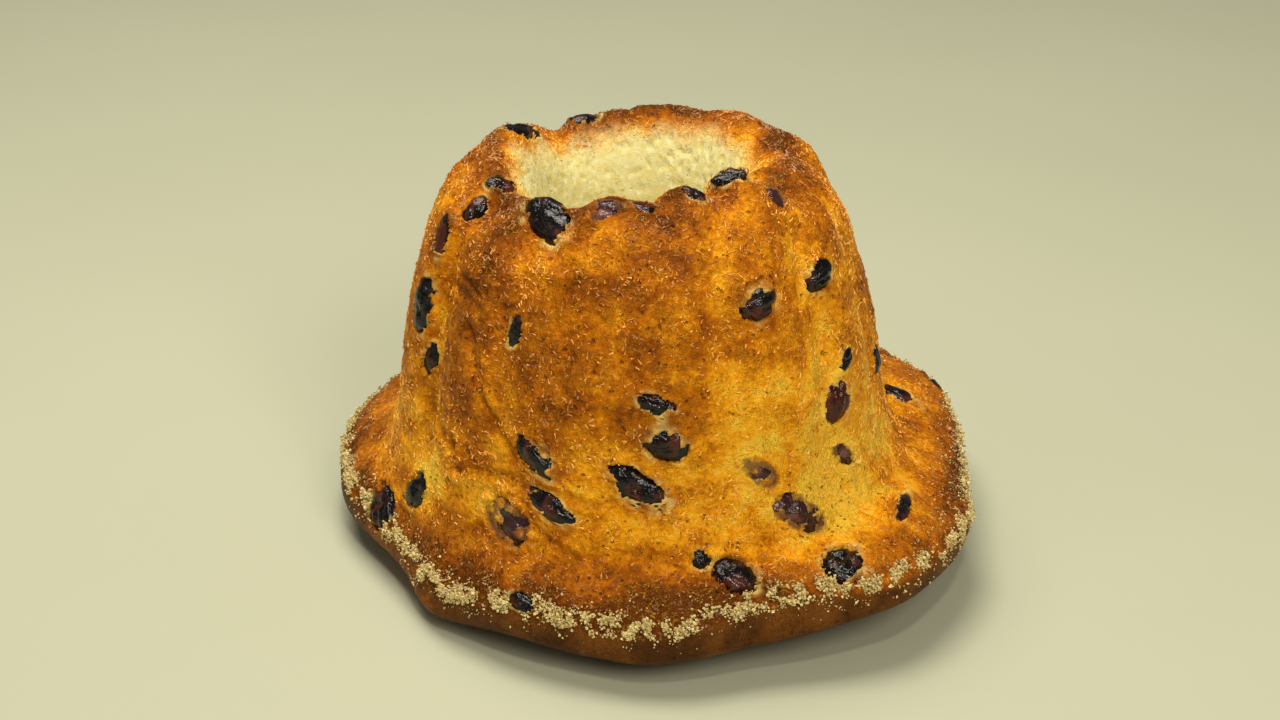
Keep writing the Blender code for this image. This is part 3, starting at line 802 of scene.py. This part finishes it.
def grain_group():
    """Baked grain: blotches, fibres, pores and a height, from coordinates in metres."""
    group = bpy.data.node_groups.new("baked_grain", "ShaderNodeTree")
    group.interface.new_socket("Place", in_out="INPUT", socket_type="NodeSocketVector")
    for name in ("Blotches", "Speckle", "Fibres", "Pores", "Height"):
        group.interface.new_socket(name, in_out="OUTPUT", socket_type="NodeSocketFloat")
    place = add_node(group, "NodeGroupInput").outputs[0]
    end = add_node(group, "NodeGroupOutput")
    joined = {"Vector": place, "Scale": SWIRLS_PER_METRE, "Detail": 1.0}
    swirl = add_node(group, "ShaderNodeTexNoise", joined).outputs["Color"]
    joined = {0: swirl, 1: (SWIRL_REACH, SWIRL_REACH, SWIRL_REACH), 2: place}
    swirled = add_node(group, "ShaderNodeVectorMath", joined, operation="MULTIPLY_ADD").outputs[0]
    blotches = add_noise(group, place, BLOTCHES_PER_METRE, 4.0, 0.6)
    speckle = add_noise(group, place, SPECKLES_PER_METRE, 4.0, 0.65)
    strands = []
    for squeeze in FIBRE_SQUEEZES:
        joined = {0: swirled, 1: squeeze}
        thin = add_node(group, "ShaderNodeVectorMath", joined, operation="MULTIPLY").outputs[0]
        strands.append(add_between(group, add_noise(group, thin, FIBRES_PER_METRE, 1.0), *FIBRE_LIMITS))
    fibres = add_maths(group, "MAXIMUM", add_maths(group, "MAXIMUM", strands[0], strands[1]), strands[2])
    strewn = add_between(group, add_noise(group, swirled, STREWN_PER_METRE, 3.0, 0.6), *STREWN_LIMITS)
    thickness = add_maths(group, "MULTIPLY_ADD", strewn, STREWN_MORE, STREWN_LEAST)
    fibres = add_maths(group, "MULTIPLY", fibres, thickness)
    joined = {"Vector": swirled, "Scale": PORES_PER_METRE}
    holes = add_node(group, "ShaderNodeTexVoronoi", joined).outputs["Distance"]
    sparse = add_between(group, add_noise(group, place, SPARSE_PER_METRE, 2.0), *SPARSE_LIMITS)
    pores = add_maths(group, "SUBTRACT", 1.0, add_between(group, holes, *PORE_LIMITS))
    pores = add_maths(group, "MULTIPLY", pores, sparse)
    height = add_maths(group, "MULTIPLY_ADD", fibres, FIBRE_HEIGHT, speckle)
    height = add_maths(group, "SUBTRACT", height, pores)
    for socket, value in zip(end.inputs, (blotches, speckle, fibres, pores, height)):
        group.links.new(value, socket)
    return group


baked_grain = grain_group()


def bake_ramp(tree, baked):
    """The crust's colour, from how far it is baked."""
    ramp = add_node(tree, "ShaderNodeValToRGB", {"Fac": baked})
    steps = ramp.color_ramp.elements
    while len(steps) < len(BAKE_COLOURS):
        steps.new(0.5)
    for step, (position, colour) in zip(steps, BAKE_COLOURS):
        step.position = position
        step.color = colour
    return ramp.outputs[0]


def crust_finish():
    """The cake's crust, crumb and underside in one material, told apart by the mesh's attributes."""
    made, tree, shader = new_material("baked_crust", 0.5, SHEEN)
    shader.inputs["Specular Tint"].default_value = SHEEN_TINT

    def mask(name):
        return add_node(tree, "ShaderNodeAttribute", attribute_name=name).outputs["Fac"]

    place = add_node(tree, "ShaderNodeTexCoord").outputs["Object"]
    grain = add_node(tree, "ShaderNodeGroup", node_tree=baked_grain)
    tree.links.new(place, grain.inputs["Place"])
    blotches, speckle, fibres, pores, height = (grain.outputs[index] for index in range(5))
    baked = mask("bake")
    for value, amount in ((blotches, BLOTCH_TONE), (speckle, SPECKLE_TONE)):
        centred = add_maths(tree, "SUBTRACT", value, 0.5)
        baked = add_maths(tree, "ADD", baked, add_maths(tree, "MULTIPLY", centred, amount))
    ramp = bake_ramp(tree, baked)
    colour = add_blend(tree, add_maths(tree, "MULTIPLY", fibres, FIBRE_SHARE), ramp, FIBRE_COLOUR)
    # The pores are darkened towards the underside's darkest brown: painted shade in the pits.
    colour = add_blend(tree, add_maths(tree, "MULTIPLY", pores, PORE_SHADE_SHARE), colour, BASE_COLOURS[0])
    thin = add_between(tree, add_noise(tree, place, VEIL_PER_METRE, 2.0), *VEIL_LIMITS)
    veil = add_maths(tree, "MULTIPLY", mask("film"), thin)
    colour = add_blend(tree, add_maths(tree, "MULTIPLY", veil, VEIL_SHARE), colour, FILM_TINT)
    colour = add_blend(tree, add_maths(tree, "MULTIPLY", mask("lip"), LIP_SHARE), colour, LIP_COLOUR)
    inside = add_blend(tree, add_between(tree, speckle, *CRUMB_TONE_LIMITS), *CRUMB_COLOURS)
    # The crumb's pores are darkened: painted shade in its cells.
    inside = add_blend(tree, add_maths(tree, "MULTIPLY", pores, CRUMB_PORE_SHADE_SHARE), inside, CRUMB_PORE_SHADE_COLOUR)
    colour = add_blend(tree, mask("crumb"), colour, inside)
    under = add_blend(tree, add_between(tree, blotches, *BASE_TONE_LIMITS), *BASE_COLOURS)
    colour = add_blend(tree, mask("base"), colour, under)
    tree.links.new(colour, shader.inputs["Base Color"])
    rough = add_maths(tree, "MULTIPLY_ADD", speckle, SPECKLE_DULLER, SMOOTHEST)
    rough = add_maths(tree, "MULTIPLY_ADD", mask("crumb"), CRUMB_DULLER, rough, clamp=True)
    tree.links.new(rough, shader.inputs["Roughness"])
    glazed = add_between(tree, add_noise(tree, place, SPECKLES_PER_METRE, 2.0), *GLAZE_LIMITS)
    glazed = add_maths(tree, "MULTIPLY", glazed, add_maths(tree, "SUBTRACT", 1.0, mask("crumb")))
    glazed = add_maths(tree, "MULTIPLY", glazed, GLAZE_WEIGHT)
    tree.links.new(glazed, shader.inputs["Coat Weight"])
    shader.inputs["Coat Roughness"].default_value = GLAZE_ROUGHNESS
    calm = add_maths(tree, "SUBTRACT", 1.0, add_maths(tree, "MULTIPLY", mask("crumb"), CRUMB_CALM))
    height = add_maths(tree, "MULTIPLY", height, calm)
    bump = add_node(tree, "ShaderNodeBump", {"Height": height, "Strength": 1.0, "Distance": CRUST_BUMP})
    tree.links.new(bump.outputs[0], shader.inputs["Normal"])
    return made


baked_crust = crust_finish()
PIECES = (
    ("cake_hole", 0.0, 4.0),
    ("cake_rim", 4.0, 8.0),
    ("cake_flutes", 8.0, 12.0),
    ("cake_brim", 12.0, 15.6),
    ("cake_underside", 15.6, 23.0),
)
CUT_SLACK = 0.0001
WRAPS_ROUND = 5.0


def cut_piece(name, low, high):
    """The part of the whole cake between two stations, as an object with the whole's normals."""
    shape = bmesh.new()
    shape.from_mesh(whole)
    layer = shape.verts.layers.float["station"]
    doomed = []
    for face in shape.faces:
        values = [corner[layer] for corner in face.verts]
        lowest = min(values)
        if max(values) - lowest > WRAPS_ROUND:
            lowest = max(values)
        if not low - CUT_SLACK <= lowest < high - CUT_SLACK:
            doomed.append(face)
    bmesh.ops.delete(shape, geom=doomed, context="FACES")
    mesh = bpy.data.meshes.new(name)
    shape.to_mesh(mesh)
    shape.free()
    mesh.shade_smooth()
    own = np.empty(len(mesh.vertices) * 3, np.float32)
    mesh.attributes["whole_normal"].data.foreach_get("vector", own)
    mesh.normals_split_custom_set_from_vertices(own.reshape(-1, 3).tolist())
    mesh.attributes.remove(mesh.attributes["whole_normal"])
    mesh.materials.append(baked_crust)
    return linked_object(name, mesh)


for name, low, high in PIECES:
    piece = cut_piece(name, low, high)
    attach(piece, "root")
    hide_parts("cake")


# The crumbs along the brim. Where the dough rose over the mould's edge its skin tore, and a band
# of dry, straw-coloured crumbs clings to the tear, thickest at the left and the front; finer ones
# are strewn wider, most of them on the right.
CRUMB_SIZES = (0.00016, 0.00052)
CRUMB_SMALLER = (0.6, 1.0)
CRUMB_SIDES = (0.7, 1.4)
CRUMB_CORNERS = (0.55, 1.25)
CRUMB_OFF_CRUST = 0.3
CRUMB_STRAYS = 0.0004
CRUMB_CLUMP = 0.0032
CLUMP_LIMITS = (-0.45, 0.35)
BAND_WOBBLES = ((0.12, 0.012, (1.0, 5.0, 5.0)), (0.10, 0.004, (5.0, 5.0, 1.0)))
BAND_ENDS = 1.6
BARE_OF_FILM = 0.05
CRUMB_SHAPES = 12
CRUMB_SEED = 11
CRUMB_WEIGHT = (0.85, 0.8, 0.75, 0.55, 0.35, 0.30, 0.35, 0.40, 0.45, 0.50, 0.55, 0.6, 0.7, 0.9, 1.0, 1.0)
STREWN_WEIGHT = (0.4, 0.5, 0.9, 1.0, 1.0, 0.8, 0.6, 0.5, 0.5, 0.5, 0.5, 0.5, 0.5, 0.6, 0.5, 0.4)

# Each band: its reach in stations, how many crumbs, their size, how high they pile, and where.
CRUMB_BANDS = (
    (0.25, 11500, 1.05, 0.0011, CRUMB_WEIGHT),
    (0.75, 4500, 0.70, 0.0002, STREWN_WEIGHT),
)
STRAW_COLOURS = ((0.84, 0.71, 0.32, 1.0), (0.36, 0.19, 0.03, 1.0))
STRAW_ROUGHNESS = 0.8
DARK_CRUMBS = 1.2
STRAW_PER_METRE, STRAW_LIMITS = 1800.0, (0.2, 0.6)
STRAW_BUMP = 0.0003


def grain_shapes(count, seed):
    """Small angular grains of twelve triangles, as (points, faces)."""
    draw = random.Random(seed)
    shapes = []
    for _ in range(count):
        shape = bmesh.new()
        bmesh.ops.create_cube(shape, size=1.3)
        for corner in shape.verts:
            corner.co *= draw.uniform(*CRUMB_CORNERS)
        bmesh.ops.triangulate(shape, faces=shape.faces)
        bmesh.ops.recalc_face_normals(shape, faces=shape.faces)
        shape.verts.index_update()
        corners = np.array([corner.co[:] for corner in shape.verts])
        shapes.append((corners, np.array([[corner.index for corner in face.verts] for face in shape.faces])))
        shape.free()
    return shapes


def joined_copies(name, copies):
    """One mesh of many copies, each (points, faces, tint)."""
    corners, faces, tints, count = [], [], [], 0
    for own, own_faces, tint in copies:
        corners.append(own)
        faces.append(own_faces + count)
        tints.append(np.full(len(own), tint, np.float32))
        count += len(own)
    mesh = bpy.data.meshes.new(name)
    mesh.from_pydata(np.concatenate(corners).tolist(), [], np.concatenate(faces).tolist())
    mesh.attributes.new("tint", "FLOAT", "POINT").data.foreach_set("value", np.concatenate(tints))
    mesh.update()
    return mesh


def scattered_grains():
    """The crumbs of every band, one after the other, as (points, faces, tint)."""
    draw = random.Random(CRUMB_SEED)
    dice = np.random.default_rng(CRUMB_SEED)
    wobble = sum(amount * noise_at(points, length, apart) for amount, length, apart in BAND_WOBBLES)
    clumps = smooth(noise_at(points, CRUMB_CLUMP, (9.0, 2.0, 2.0)), *CLUMP_LIMITS) ** 2
    shapes = grain_shapes(CRUMB_SHAPES, CRUMB_SEED)
    for reach, count, scale, pile, round_weights in CRUMB_BANDS:
        offset = (past_crumbs + wobble) / reach
        weight = np.exp(-(offset**2)) * (np.abs(offset) < BAND_ENDS)
        weight *= on_curve(round_weights, azimuths / 360.0 * len(round_weights))
        weight *= clumps * (film < BARE_OF_FILM)
        for spot in dice.choice(len(points), count, p=weight / weight.sum()):
            own, faces = draw.choice(shapes)
            size = scale * draw.uniform(*CRUMB_SIZES) * draw.uniform(*CRUMB_SMALLER)
            sides = np.diag([size * draw.uniform(*CRUMB_SIDES) for _ in range(3)])
            turn = Matrix.Rotation(draw.uniform(0, math.tau), 3, Vector((draw.random(), draw.random(), 1.0)))
            place = points[spot] + normals[spot] * (size * CRUMB_OFF_CRUST + pile * draw.random() ** 3)
            place = place + np.array([draw.uniform(-CRUMB_STRAYS, CRUMB_STRAYS) for _ in range(3)])
            yield own @ sides @ np.array(turn).T + place, faces, draw.random()


def straw_finish():
    """The crumbs' dull straw colour, some of them toasted."""
    made, tree, shader = new_material("dry_crumbs", STRAW_ROUGHNESS)
    place = add_node(tree, "ShaderNodeTexCoord").outputs["Object"]
    tint = add_node(tree, "ShaderNodeAttribute", attribute_name="tint").outputs["Fac"]
    speckle = add_noise(tree, place, STRAW_PER_METRE, 3.0, 0.6)
    share = add_maths(tree, "POWER", tint, DARK_CRUMBS)
    share = add_maths(tree, "MULTIPLY", share, add_between(tree, speckle, *STRAW_LIMITS))
    tree.links.new(add_blend(tree, share, *STRAW_COLOURS), shader.inputs["Base Color"])
    bump = add_node(tree, "ShaderNodeBump", {"Height": speckle, "Strength": 0.5, "Distance": STRAW_BUMP})
    tree.links.new(bump.outputs[0], shader.inputs["Normal"])
    return made


crumbs = linked_object("brim_crumbs", joined_copies("brim_crumbs", scattered_grains()))
crumbs.data.materials.append(straw_finish())
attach(crumbs, "root")


# The torn flecks of the crust. Where its skin clung to the mould it tore into short slivers of
# dough, which stand a little off the crust all over it and are a shade paler, with a pale tan
# mixed in as a painted highlight.
FLECK_COUNT = 12000
FLECK_LENGTHS = (0.0004, 0.0015)
FLECK_HALF_WIDTHS = (0.00012, 0.00034)
FLECK_SHAPES = 16
FLECK_BEND = 0.35
FLECK_TILT = 0.40
FLECK_UPRIGHT = 0.8
FLECK_OFF_CRUST = 0.4
FLECK_STATIONS = (5.0, 15.3)
FLECK_PATCH = 0.009
FLECK_PATCH_LIMITS = (-0.3, 0.4)
FLECKS_BETWEEN = 0.25
FLECK_PALER = (0.0, 0.36)
# A pale tan mixed into every fleck: a painted highlight.
FLECK_PAINTED_HIGHLIGHT = (0.90, 0.62, 0.30, 1.0)
FLECK_PAINTED_HIGHLIGHT_SHARE = 0.20
FLECK_ROUGHNESS, FLECK_SHEEN = 0.35, 0.3
FLECK_SEED = 23


def sliver_shapes(count, seed):
    """Thin four-sided slivers a unit long and wide, as (points, faces)."""
    draw = random.Random(seed)
    shapes = []
    for _ in range(count):
        shape = bmesh.new()
        bmesh.ops.create_cone(shape, cap_ends=True, segments=4, radius1=1.0, radius2=0.3, depth=1.0)
        shape.verts.index_update()
        corners = np.array([(corner.co.z, corner.co.x, corner.co.y) for corner in shape.verts])
        corners[:, 1:] *= [[draw.uniform(0.6, 1.2)] for _ in corners]
        bmesh.ops.triangulate(shape, faces=shape.faces)
        shapes.append((corners, np.array([[corner.index for corner in face.verts] for face in shape.faces])))
        shape.free()
    return shapes


def torn_flecks():
    """The flecks one after the other, as (points, faces, how far baked)."""
    draw = random.Random(FLECK_SEED)
    dice = np.random.default_rng(FLECK_SEED)
    first, last = FLECK_STATIONS
    weight = (1.0 - crumb) * (1.0 - base) * (film < BARE_OF_FILM) * (stations > first) * (stations < last)
    patches = smooth(noise_at(points, FLECK_PATCH, (5.0, 2.0, 9.0)), *FLECK_PATCH_LIMITS)
    weight = weight * (FLECKS_BETWEEN + patches)
    shapes = sliver_shapes(FLECK_SHAPES, FLECK_SEED)
    for spot in dice.choice(len(points), FLECK_COUNT, p=weight / weight.sum()):
        own, faces = draw.choice(shapes)
        heading = np.array([draw.gauss(0.0, 1.0) for _ in range(3)])
        heading[2] += FLECK_UPRIGHT
        heading += normals[spot] * (draw.uniform(0.0, FLECK_TILT) - heading @ normals[spot])
        heading /= np.linalg.norm(heading)
        across = np.cross(normals[spot], heading)
        across /= np.linalg.norm(across)
        axes = np.stack((heading, across, np.cross(heading, across)))
        length, half_width = draw.uniform(*FLECK_LENGTHS), draw.uniform(*FLECK_HALF_WIDTHS)
        own = own * (length, half_width, half_width)
        own[:, 1] += draw.uniform(-FLECK_BEND, FLECK_BEND) * own[:, 0] ** 2 / length
        place = points[spot] + normals[spot] * half_width * FLECK_OFF_CRUST
        yield own @ axes + place, faces, bake[spot] - draw.uniform(*FLECK_PALER)


def fleck_finish():
    """The crust's colours, a little paler, with a pale tan mixed in as a painted highlight."""
    made, tree, shader = new_material("torn_flecks", FLECK_ROUGHNESS, FLECK_SHEEN)
    tint = add_node(tree, "ShaderNodeAttribute", attribute_name="tint").outputs["Fac"]
    colour = add_blend(tree, FLECK_PAINTED_HIGHLIGHT_SHARE, bake_ramp(tree, tint), FLECK_PAINTED_HIGHLIGHT)
    tree.links.new(colour, shader.inputs["Base Color"])
    return made


flecks = linked_object("crust_flecks", joined_copies("crust_flecks", torn_flecks()))
flecks.data.materials.append(fleck_finish())
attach(flecks, "root")
